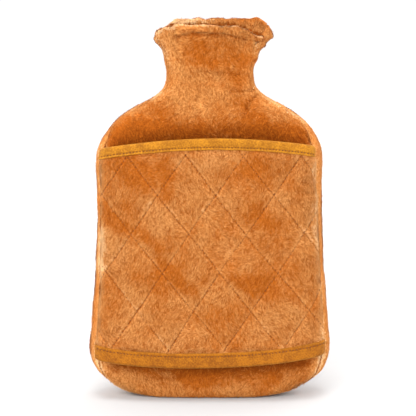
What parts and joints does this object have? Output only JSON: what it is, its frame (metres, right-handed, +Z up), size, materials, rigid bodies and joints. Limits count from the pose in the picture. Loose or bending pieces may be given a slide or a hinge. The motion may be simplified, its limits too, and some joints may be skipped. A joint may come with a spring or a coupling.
{
  "type": "hot water bottle cover",
  "caption": "Upright hollow plush cover with flared neck and quilted front hand pocket, tape-bound and open at top and bottom.",
  "frame": {"origin": "on the ground, under the middle of the cover's box", "axes": "+Z up from the base to the collar, +Y from the pocket at the front to the plain back, +X to the right as the front is seen"},
  "size_m": [0.2245, 0.0694, 0.3507],
  "materials": {
    "plush": "short warm orange-brown pile, brushed in patches",
    "quilted_plush": "the same pile, padded and stitched in diamonds",
    "binding_tape": "flat mustard woven tape"
  },
  "bodies": {
    "root": {"front_panel": "plush", "back_panel": "plush", "hand_pocket": "quilted_plush", "pocket_top_binding": "binding_tape", "pocket_bottom_binding": "binding_tape"}
  },
  "joints": []
}
